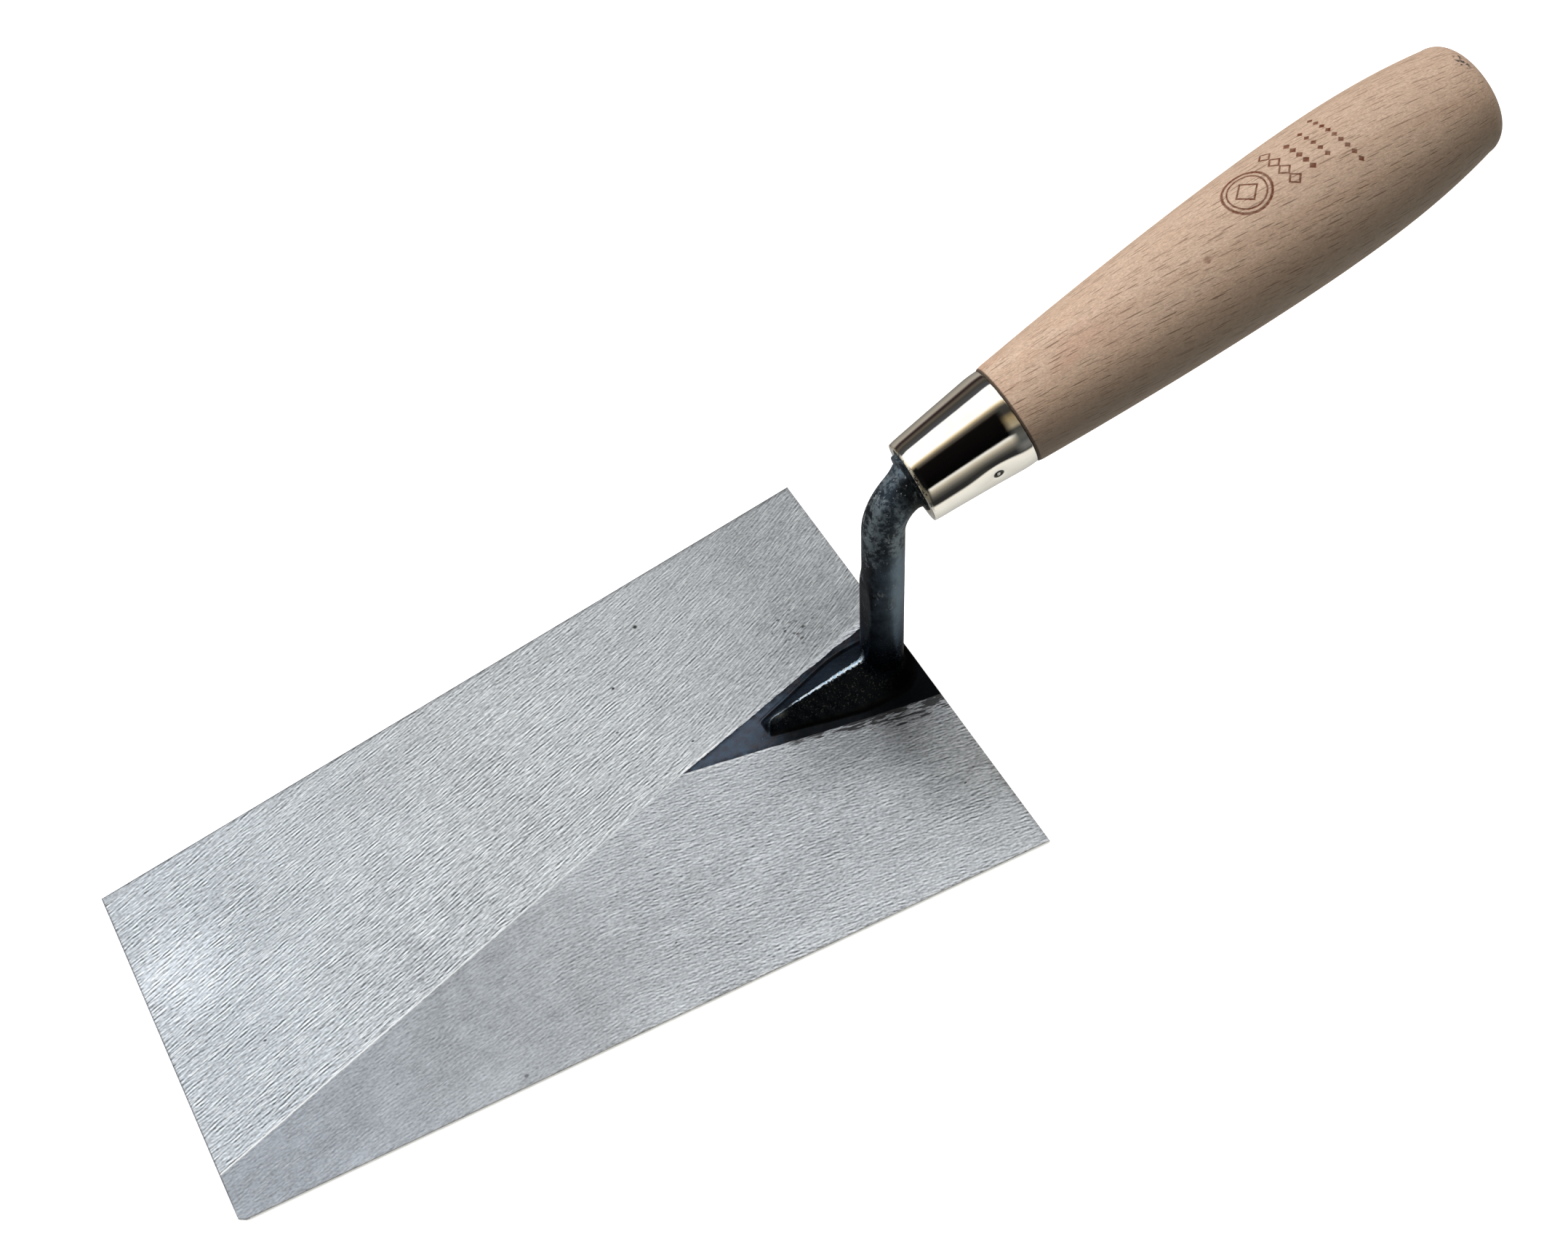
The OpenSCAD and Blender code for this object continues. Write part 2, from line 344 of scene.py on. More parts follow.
def neck_path():
    """Points and tangents along the neck, from inside the boss to inside the shoulder."""
    reach = 9.7
    turn = math.pi / 2 - LEAN - TILT
    radius = reach / math.tan(turn / 2)
    bottom, top = NECK_FOOT + UP_NECK * 13.6, CORNER - UP_NECK * reach
    out = np.array([-math.cos(LEAN), 0, math.sin(LEAN)])
    centre = top - radius * out
    path = [(bottom + (top - bottom) * t, UP_NECK) for t in np.linspace(0, 1, 60)]
    for ang in turn * np.linspace(0, 1, 34)[1:]:
        path.append((centre + radius * (out * math.cos(ang) + UP_NECK * math.sin(ang)),
                     UP_NECK * math.cos(ang) - out * math.sin(ang)))
    return path


def neck_mesh():
    n, ang, verts = 96, angles(96), []
    shoulder = GRIP_START - ALONG * 0.75
    path = neck_path()
    for i, (p, along) in enumerate(path):
        front = np.cross(Y_AXIS, along)
        gap = (shoulder - p) @ ALONG                        # how far the shoulder is ahead
        r = neck_radius(ang, (p - NECK_FOOT) @ UP_NECK)
        # the bend is pinched, the skin uneven, and the end flares into the shoulder
        bend = np.clip(1 - abs((p - CORNER) @ (UP_NECK + ALONG)) / 14, 0, 1) * (np.linalg.norm(p - CORNER) < 14)
        r -= 0.22 * bend * np.abs(np.cos(ang)) ** 2
        r += min(1, i / 8) * (0.05 * noise1(ang / CIRCLE * 5 + i * 0.015, 31, 2, 5)
                              + 0.035 * noise1(np.full(n, i / 6.0), 32))
        flare = np.exp(-max(gap, 0) / 1.1) if gap < 6 else 0
        r = np.minimum(r + flare * (0.5 + 1.5 * (0.5 - 0.5 * np.cos(ang))), 7.2)
        for a, rr in zip(ang, r):
            verts.append(p + rr * (math.cos(a) * (-front) + math.sin(a) * Y_AXIS))
    return np.array(verts), strip(len(path), n)


def circle(r):
    return lambda a: (r * math.cos(a), r * math.sin(a))


def square(w):
    def at(a):
        c, s = math.cos(a), math.sin(a)
        k = (w / 2) / max(abs(c), abs(s))
        return k * c, k * s
    return at


def to_world_mm(local):
    """Points in the handle's own frame (down, across, along) to the part's frame, all in mm."""
    local = np.asarray(local, float)
    return GRIP_START + local[:, :1] * DOWN + local[:, 1:2] * Y_AXIS + local[:, 2:3] * ALONG


def shoulder_and_tang():
    def edge(r, burr=0.0):
        def at(a):
            # the forged collar isn't quite round, and a burr is drawn out of it at the top
            k = r + 0.10 * float(noise1(a / CIRCLE * 7, 41, 2, 7))
            k += burr * math.exp(-((math.pi - abs(a)) / 0.15) ** 2)
            return k * math.cos(a), k * math.sin(a)
        return at
    sections = [(-0.72, circle(5.2)), (-0.76, edge(6.6, 1.1)), (-0.66, edge(7.2, 1.7)),
                (-0.40, edge(7.42, 1.1)), (0.1, edge(7.45)), (TANG_FROM, edge(7.4)),
                (TANG_FROM, square(TANG_W0)), (TANG_TO, square(TANG_W1))]
    n = 96
    verts = [(*section(a), s) for s, section in sections for a in angles(n)]
    last = (len(sections) - 1) * n
    faces = strip(len(sections), n) + [tuple(range(n - 1, -1, -1)), tuple(range(last, last + n))]
    return to_world_mm(verts), faces


def build_shank():
    verts, faces, at = [], [], 0
    for v, f in (tongue_mesh(), boss_mesh(), neck_mesh(), shoulder_and_tang()):
        verts.append(np.asarray(v))
        faces += [tuple(int(i) + at for i in q) for q in f]
        at += len(v)
    return make("shank_forging", np.concatenate(verts), faces, sharp=math.radians(48))


# ---------------------------------------------------------------- ferrule, pin and handle
def ferrule_r(s):
    return FERRULE_R0 + (FERRULE_R1 - FERRULE_R0) / FERRULE_L * s


def grip_r(s):
    if s < GRIP_AT:
        return GRIP_R - (GRIP_R - FERRULE_R1) * ((GRIP_AT - s) / (GRIP_AT - FERRULE_L)) ** 1.6
    return GRIP_R - (GRIP_R - BUTT_R) * ((s - GRIP_AT) / (GRIP_END - BUTT_ROUND - GRIP_AT)) ** 2.5


def lathe(profile, n, shape):
    """Points turned about z from (radius, z); shape(angles, z, radius) gives the radii of a ring."""
    ang = angles(n)
    return np.array([(k * math.cos(a), k * math.sin(a), z)
                     for r, z in profile for k, a in zip(shape(ang, z, r), ang)])


def build_ferrule():
    n = 288
    wall, edge_r, body_end, rear = 0.8, 0.22, 21.8, 25.9
    droop, roll, first = 0.30, 0.32, math.radians(10)
    low_side = math.radians(-55)

    def front(s):
        """The sleeve narrows a little at its front edge."""
        return ferrule_r(s) - 0.14 * max(0.0, 1 - s / 2.2) ** 2

    prof = [(8.2, 0.45), (8.45, 0.2), (8.9, 0.03), (9.4, 0.0)]
    prof += [(front(edge_r) - edge_r * (1 - math.sin(a)), edge_r * (1 - math.cos(a)))
             for a in np.linspace(0.0, math.pi / 2, 6)]
    prof += [(front(s), s) for s in np.linspace(0.4, 2.4, 11)]
    prof += [(ferrule_r(s), s) for s in np.linspace(2.8, body_end, 58)]
    prof += [(ferrule_r(s) - droop * ((s - body_end) / 4.1) ** 2.2, s) for s in np.linspace(22.1, rear, 18)]
    # the rear edge is rolled down on to the wood
    prof += [(ferrule_r(rear) - droop - roll * (math.cos(first) - math.cos(a)),
              rear + roll * (math.sin(a) - math.sin(first)))
             for a in np.linspace(first, math.radians(88), 8)[1:]]
    prof.append((prof[-1][0] - 0.25, prof[-1][1] + 0.01))
    prof += [(ferrule_r(s) - wall, s) for s in (25.0, 13.0, 0.8)] + [(8.2, 0.8)]

    def shape(ang, z, r):
        rr = np.full(len(ang), float(r))
        if r < ferrule_r(z) - 0.7:                          # the inside, crumpled at the front
            return rr + 0.09 * noise1(ang / CIRCLE * 46, 51, 2, 46) if z < 0.5 else rr
        # a dimple where the pin was driven in, within a wider flat
        arc = wrapped(ang - PIN_ANGLE) * r
        rr -= 0.24 * np.exp(-(arc ** 2 + (z - PIN_AT) ** 2) / 1.25 ** 2)
        rr -= 0.42 * np.exp(-((arc - 0.6) ** 2 / 3.6 ** 2 + (z - PIN_AT) ** 2 / 5.0 ** 2))
        fade = min(1, z / 1.5) * min(1, (25.4 - z) / 1.5) if z < 25.4 else 0
        rr += max(fade, 0) * (0.016 * noise1(ang / CIRCLE * 9 + z * 0.004, 52, 2, 9)
                              + 0.004 * noise1(ang / CIRCLE * 23 + z * 0.01, 53, 1, 23))
        # the front edge stands out a little on its lower side
        return rr + 0.25 * math.exp(-z / 7.0) * np.maximum(np.cos(ang - low_side), 0) ** 2

    verts = lathe(prof, n, shape)
    ang = np.arctan2(verts[:, 1], verts[:, 0])
    s = verts[:, 2]
    s -= 0.55 * np.cos(ang - low_side) * np.exp(-np.maximum(s, 0) / 5.0) * (s < 24)
    faces = strip(len(prof), n) + band(range(len(verts) - n, len(verts)), range(n))
    return make("ferrule_sleeve", to_world_mm(verts), faces, sharp=math.radians(55))


def build_pin():
    n = 48
    prof = [(0.18, 0.0), (0.42, -0.02), (0.66, -0.07), (0.84, -0.16), (0.95, -0.30), (0.97, -0.50),
            (0.92, -0.62), (0.75, -0.66), (0.75, -5.4), (0.35, -6.3)]

    def nick(x, y, r):
        """A curved nick that the punch left in the head."""
        return math.exp(-((math.hypot(x, y) - r) / 0.09) ** 2)

    verts = []
    for r, h in prof:
        for a in angles(n):
            x, y = r * math.cos(a), r * math.sin(a)
            cut = min(nick(x - 0.55, y + 0.1, 0.55) + nick(x + 0.5, y - 0.25, 0.5), 1)
            verts.append((x, y, h - (0.12 * cut if h > -0.28 else 0)))
    last, head = len(verts) - n, len(verts)
    verts = np.array(verts + [(0, 0, -0.01), (0, 0, -6.5)])
    faces = strip(len(prof), n, flip=True) + [(head, j, (j + 1) % n) for j in range(n)]
    faces += [(head + 1, last + (j + 1) % n, last + j) for j in range(n)]
    out = np.array([math.cos(PIN_ANGLE), math.sin(PIN_ANGLE), 0])
    side = np.array([-math.sin(PIN_ANGLE), math.cos(PIN_ANGLE), 0])
    seat = ferrule_r(PIN_AT) - 0.42
    local = (seat + verts[:, 2:]) * out + verts[:, :1] * side + np.array([0, 0, 1.0]) * (PIN_AT + verts[:, 1:2])
    return make("ferrule_brad", to_world_mm(local), faces, sharp=math.radians(45))


def build_handle():
    n = 192
    butt_start = GRIP_END - BUTT_ROUND
    sleeve = 0.82                                           # the ferrule's wall and a little play

    def inner(s):
        return ferrule_r(s) - sleeve

    prof = [(inner(0.8) - 0.3, 0.8), (inner(1.1), 1.1), (inner(13), 13.0), (inner(24.0), 24.0),
            (11.4, 26.0), (12.2, 26.22), (12.42, 26.45), (12.56, 26.85)]
    prof += [(grip_r(s), s) for s in np.linspace(27.6, butt_start, 104)]
    # the butt rounds over to a nearly flat face
    face, dome = BUTT_R * 0.5, 0.4
    prof += [(face + (BUTT_R - face) * math.cos(a), butt_start + (BUTT_ROUND - dome) * math.sin(a))
             for a in np.linspace(0, math.pi / 2, 17)[1:]]
    prof += [(face * k, GRIP_END - dome * k * k) for k in (0.8, 0.55, 0.3, 0.1)]

    def shape(ang, z, r):
        rr = np.full(len(ang), float(r))
        if z > 27:
            rr -= 0.015 + 0.015 * noise1(ang / CIRCLE * 6 + z * 0.01, 61, 2, 6)
            # a small knock in the wood
            arc = wrapped(ang - DENT_ANGLE) * r
            rr -= 0.28 * np.exp(-(arc ** 2 / 0.75 ** 2 + (z - DENT_AT) ** 2 / 0.95 ** 2))
        return rr

    verts = lathe(prof, n, shape)
    last, tip = len(verts) - n, len(verts)
    faces = strip(len(prof), n) + [(last + j, last + (j + 1) % n, tip) for j in range(n)]
    # the blind square hole for the tang, a little larger all round
    mouth, end = range(tip + 1, tip + 1 + n), range(tip + 1 + n, tip + 1 + 2 * n)
    play = 0.02
    hole = [(*square(w + play)(a), s)
            for s, w in ((TANG_FROM, TANG_W0), (TANG_TO + play, TANG_W1)) for a in angles(n)]
    faces += band(range(n), mouth, flip=True) + band(mouth, end, flip=True) + [tuple(end)]
    verts = np.concatenate([verts, [(0, 0, GRIP_END)], hole])
    return make("handle_grip", to_world_mm(verts), faces, sharp=math.radians(35))


pieces = {"blade": build_blade(), "shank": build_shank(), "ferrule": build_ferrule(),
          "ferrule_pin": build_pin(), "handle": build_handle()}
for node, piece in pieces.items():
    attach(piece, "root")
    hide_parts(node)


# ---------------------------------------------------------------- nodes
def operator(name, swap=False):
    """A method that does one sum on node outputs with a maths node."""
    def method(self, other):
        return self.nodes.math(name, other, self) if swap else self.nodes.math(name, self, other)
    return method


class Value:
    """A node's output, which can be added, multiplied and so on."""

    def __init__(self, nodes, socket):
        self.nodes, self.socket = nodes, socket

    __add__, __radd__ = operator("ADD"), operator("ADD", True)
    __sub__, __rsub__ = operator("SUBTRACT"), operator("SUBTRACT", True)
    __mul__, __rmul__ = operator("MULTIPLY"), operator("MULTIPLY", True)
    __truediv__, __lt__ = operator("DIVIDE"), operator("LESS_THAN")

    def __abs__(self):
        return self.nodes.math("ABSOLUTE", self)


class Nodes:
    """Short names for the nodes that a material or the world is built from."""

    def __init__(self, tree):
        self.tree = tree

    def put(self, socket, value):
        if isinstance(value, Value):
            self.tree.links.new(value.socket, socket)
        else:
            socket.default_value = (*value, 1) if socket.type == "RGBA" and len(value) == 3 else value

    def node(self, kind, *values, into=None, **props):
        """Adds a node, fills its inputs, in order or those named, and returns its outputs."""
        n = self.tree.nodes.new(kind)
        for name, value in props.items():
            setattr(n, name, value)
        for key, value in zip(into or range(len(values)), values):
            self.put(n.inputs[key], value)
        return [Value(self, socket) for socket in n.outputs]

    def math(self, operation, *values):
        return self.node("ShaderNodeMath", *values, operation=operation)[0]

    def fma(self, a, b, c):
        """a * b + c"""
        return self.math("MULTIPLY_ADD", a, b, c)

    def most(self, a, b):
        return self.math("MAXIMUM", a, b)

    def hyp(self, a, b):
        return self.math("SQRT", a * a + b * b)

    def vmath(self, operation, a, b):
        out = self.node("ShaderNodeVectorMath", a, b, operation=operation)
        return out[1] if operation == "DOT_PRODUCT" else out[0]

    def xyz(self, vec):
        return self.node("ShaderNodeSeparateXYZ", vec)

    def vec(self, x, y, z):
        return self.node("ShaderNodeCombineXYZ", x, y, z)[0]

    def span(self, v, lo, hi, to_lo=0.0, to_hi=1.0, smooth=False):
        """The value between lo and hi, brought to between to_lo and to_hi and held there beyond them."""
        kind = "SMOOTHSTEP" if smooth else "LINEAR"
        return self.node("ShaderNodeMapRange", v, lo, hi, to_lo, to_hi, interpolation_type=kind)[0]

    def bell(self, value, centre, width):
        """1 at the centre, falling smoothly to nothing over the width."""
        return self.span(abs(value - centre), width, 0.0, smooth=True)

    def blend(self, fac, a, b):
        """Mix of two numbers."""
        return self.node("ShaderNodeMix", fac, a, b, into=(0, 2, 3), data_type="FLOAT")[0]

    def mix(self, fac, a, b, blend="MIX"):
        """Mix of two colours."""
        return self.node("ShaderNodeMix", fac, a, b, into=(0, 6, 7), data_type="RGBA", blend_type=blend)[2]

    def ramp(self, fac, stops):
        """Colour and alpha at a place along stops of (position, colour)."""
        out = self.node("ShaderNodeValToRGB", fac)
        elements = out[0].socket.node.color_ramp.elements
        while len(elements) < len(stops):
            elements.new(0.5)
        for element, (position, colour) in zip(elements, stops):
            element.position, element.color = position, (*colour, 1)[:4]
        return out


class Material(Nodes):
    """A material for one piece, with colours laid one over another."""

    def __init__(self, name):
        self.mat = bpy.data.materials.new(name)
        self.mat.use_nodes = True
        super().__init__(self.mat.node_tree)
        self.bsdf = self.tree.nodes["Principled BSDF"]
        self.mm = self.scale(self.node("ShaderNodeTexCoord")[3], (1000.0, 1000.0, 1000.0))

    def scale(self, vec, k):
        return self.vmath("MULTIPLY", vec, k)

    def grip_axes(self):
        """Millimetres in the handle's own frame: down, across and along."""
        p = self.vmath("SUBTRACT", self.mm, tuple(GRIP_START))
        return [self.vmath("DOT_PRODUCT", p, tuple(axis)) for axis in (DOWN, Y_AXIS, ALONG)]

    def noise(self, vec, scale=1.0, detail=3.0, rough=0.5):
        return self.node("ShaderNodeTexNoise", vec, scale, detail, rough,
                         into=("Vector", "Scale", "Detail", "Roughness"))[0]

    def dashes(self, u, v, pitch, size, share, shift=0.0):
        """Short lens-shaped marks along v, at random places: pitch and size are (across, along) in mm."""
        pu, pv = self.fma(u, 1 / pitch[0], shift), v / pitch[1]
        out = self.node("ShaderNodeTexVoronoi", self.vec(pu, pv, 0.0), 1.0, into=("Vector", "Scale"),
                        voronoi_dimensions="2D")
        chance, at = self.xyz(out[1]), self.xyz(out[2])
        stretch = size[0] / size[1] * pitch[1] / pitch[0]
        d = self.hyp(pu - at[0], (pv - at[1]) * stretch) * (pitch[0] / size[0])
        # each mark has its own length and strength
        length, strength = self.span(chance[1], 0.0, 1.0, 1.6, 0.8), self.span(chance[2], 0.0, 1.0, 0.45, 1.0)
        return self.span(d * length, 1.15, 0.55) * (chance[0] < share) * strength

    def paint(self, mask, colour):
        """Lays a colour over what is there, as far as the mask lets it."""
        self.colour = self.mix(mask, self.colour, colour)

    def shade(self, colour, factor):
        self.colour = self.mix(1.0, colour, self.vec(factor, factor, factor), "MULTIPLY")

    def bump(self, height, distance, strength):
        return self.node("ShaderNodeBump", height, distance, strength,
                         into=("Height", "Distance", "Strength"))[0]

    def surface(self, **sockets):
        for name, value in sockets.items():
            self.put(self.bsdf.inputs[name.replace("_", " ")], value)


def turned(x, y, angle):
    """Distances along and across a direction at that angle."""
    c, s = math.cos(angle), math.sin(angle)
    return x * c + y * s, y * c - x * s


# ---------------------------------------------------------------- materials, in mm
def steel():
    t = Material("ground_steel")
    x, y, _ = t.xyz(t.mm)
    # distance across the ridge line: positive on the left facet
    ridge = y - (x - TIP_X) * (RIDGE_TOE[1] / (RIDGE_TOE[0] - TIP_X))
    left = t.span(ridge, -0.15, 0.15)
    # the grinding marks run along the ridge on the left facet and turn outwards near the heel, and fan out from
    # the ridge on the right facet
    bend = t.most(x - 30.0, 0.0)
    past = x + 8.0
    across_left = y - x * 0.27 - bend * bend * 0.00175
    across_right = y + x * 0.009 + t.math("SQRT", past * past + 196.0) * 0.167 + 137.0
    across = t.blend(left, across_right, across_left)

    run = x * t.blend(left, 1.8, 1.0)                       # the marks on the right facet are shorter

    def streaks(along, width, detail=2.0, shift=0.0, aside=0.0, slant=0.0):
        u = t.fma(x, slant, across)
        v = t.vec(t.fma(run, 1 / along, shift), t.fma(u, 1 / width, shift + aside / width), left)
        return t.noise(v, 1.0, detail, 0.6) - 0.5

    def hairlines(along, width, shift, slant):
        """Fine streaks, less the average of those either side of them, which leaves no broad patches."""
        sides = [streaks(along, width, 0.0, shift, aside, slant) for aside in (width, -width)]
        return streaks(along, width, 0.0, shift, 0.0, slant) - (sides[0] + sides[1]) * 0.5

    # the marks are boldest along the middle of the plate
    bold_left = t.span(x, 15.0, 75.0, 1.0, 0.62) * t.span(y, 28.0, 55.0, 1.0, 0.75)
    bold = t.blend(left, t.span(x, -25.0, 20.0, 0.28, 0.72), bold_left)
    fine = (hairlines(2.4, 0.43, 0.0, 0.07) * 1.45 + hairlines(7.0, 0.5, 5.0, -0.05) * 1.15) * bold
    medium, broad = streaks(12.0, 1.3, 2.0, 11.0), streaks(30.0, 6.0, 2.0, 23.0)
    cloud = t.noise(t.mm, 0.035, 3.0, 0.55) - 0.5
    mottle = t.noise(t.mm, 0.28, 3.0, 0.6) - 0.5
    grit = t.noise(t.scale(t.mm, (0.6, 1.0, 1.0)), 2.3, 0.0, 0.7) - 0.5
    tone = 1.0 + fine + broad * 0.26
    # how much of each there is in general, and towards the right of the toe, which is more clouded
    toe_right = (1.0 - left) * t.span(x, 20.0, -25.0)
    for pattern, general, toe in ((medium, 0.18, 0.34), (cloud, 0.38, 0.55), (mottle, 0.22, 0.42),
                                  (grit, 0.90, 0.60)):
        tone = tone + pattern * t.blend(toe_right, general, toe)
    tone = t.most(tone, 0.2)
    # painted light: the plate is darker towards the heel, with a painted shadow of the neck beside the tongue
    # painted shade near the neck on the left facet
    neck_shade_left = t.span(t.hyp(x - 90.0, y - 17.0), 26.0, 4.0, smooth=True)
    painted_light_left = t.span(x, 20.0, 95.0, 1.0, 0.7, True) - 0.13 * neck_shade_left
    # painted light: the right facet is darker towards the toe and lighter along its right edge
    painted_light_right = t.span(x, -30.0, 20.0, 0.84, 0.95, True) * t.span(y, -40.0, -56.0, 1.0, 1.12)
    neck_shadow = t.span(t.hyp((x - 82.0) * 0.58, y + 13.5), 20.0, 3.0, smooth=True)
    painted_light_right = painted_light_right * (1.0 - neck_shadow * 0.45)
    # a polished patch near the toe of the left facet, also painted lighter as a painted sheen
    polish_and_sheen = t.span(t.hyp(x + 90.0, y - 17.0), 20.0, 2.0, smooth=True) * left
    tone = tone * t.blend(left, painted_light_right, painted_light_left) * t.fma(polish_and_sheen, 0.27, 1.0)
    # painted light: the left facet is painted lighter than the right, as the two face the light differently
    base = t.mix(left, (0.400, 0.424, 0.450), (0.455, 0.479, 0.500))
    base = t.mix(t.span(x, -10.0, -80.0), base, t.mix(left, (0.385, 0.420, 0.466), (0.478, 0.518, 0.560)))
    t.shade(base, tone)
    # bright scratches, most of them on the left facet, and a painted highlight along the ridge
    marks = t.most(t.dashes(across, x, (0.5, 7.0), (0.11, 2.0), 0.35),
                   t.dashes(across, x, (1.0, 5.0), (0.14, 1.3), 0.2, 5.5))
    t.paint(marks * bold * t.span(left, 0.0, 1.0, 0.6, 0.85), (0.95, 0.97, 0.99))
    dark = t.dashes(across, x, (0.55, 7.0), (0.11, 1.8), 0.16, 9.0)
    t.paint(dark * bold * 0.55, (0.13, 0.14, 0.155))
    wander = (t.noise(t.mm, 0.8, 2.0) - 0.5) * 0.4
    ridge_highlight = t.bell(ridge + wander, 0.05, 0.38) * t.span(x, 20.0, -60.0, 0.25, 1.0)
    t.paint(ridge_highlight * 0.9, (0.95, 0.96, 0.97))
    # a painted highlight along the sides of the front of the tongue
    beside = abs(y) - (x - TIP_X) * (SPEAR_HALF / (HEEL_X - TIP_X))
    ground = t.bell(beside + wander, 0.4, 0.32) * t.span(x, 34.0, 37.0) * t.span(x, 72.0, 55.0)
    ground = ground * t.span(t.noise(t.mm, 0.5, 2.0), 0.36, 0.5)
    t.paint(ground * t.blend(left, 0.5, 0.95), (0.97, 0.97, 0.98))
    # painted shade on the plate's bevel along the toe and the left, and a painted sheen on its side face on the
    # right
    side_slope, side_at_0 = 0.0775, 55.25
    edge_shade = t.most(t.span(x, TOE_X + 0.42, TOE_X + 0.22),
                     t.span(abs(y) - x * side_slope, side_at_0 - 0.42, side_at_0 - 0.22))
    t.paint(edge_shade * t.span(y, -46.0, -40.0, 0.0, 0.65), (0.1, 0.105, 0.115))
    side_face_sheen = t.span(y * -1.0 - x * side_slope, side_at_0 - 0.03, side_at_0 - 0.01)
    t.paint(side_face_sheen * t.span(y, -40.0, -46.0), (0.95, 0.98, 1.0))
    # soot from the forge has crept off the tongue on to the plate at the right of the heel
    reach = t.span(x, 54.0, 84.0) * t.fma(streaks(9.0, 0.8, 2.0, 31.0), 22.0, 2.4)
    smear = t.span(beside - reach, 0.6, -0.5) * (y < 0.0) * t.span(x, 54.0, 64.0)
    t.paint(smear * 0.92, (0.012, 0.012, 0.013))
    # small dark pits, with a cluster of them on the left near the heel
    cluster = t.span(t.hyp(x - 79.0, y - 22.5), 7.0, 0.0)
    pit = t.dashes(y, x, (1.4, 1.9), (0.4, 0.6), t.fma(cluster, 0.9, 0.0015))
    for px, py, size in ((45.7, 45.6, 0.70), (32.6, 31.9, 0.50)):
        pit = t.most(pit, t.span(t.hyp(x - px, y - py), size, size / 2))
    t.paint(pit, (0.03, 0.03, 0.033))
    height = fine * 0.2 + medium * 0.4 + marks * 0.3 - (dark * 0.3 + pit)
    t.surface(Base_Color=t.colour, Metallic=0.65, Normal=t.bump(height, 0.00003, 0.5),
              Roughness=0.31 + medium * 0.2 + mottle * 0.08 + polish_and_sheen * -0.04)
    return t.mat


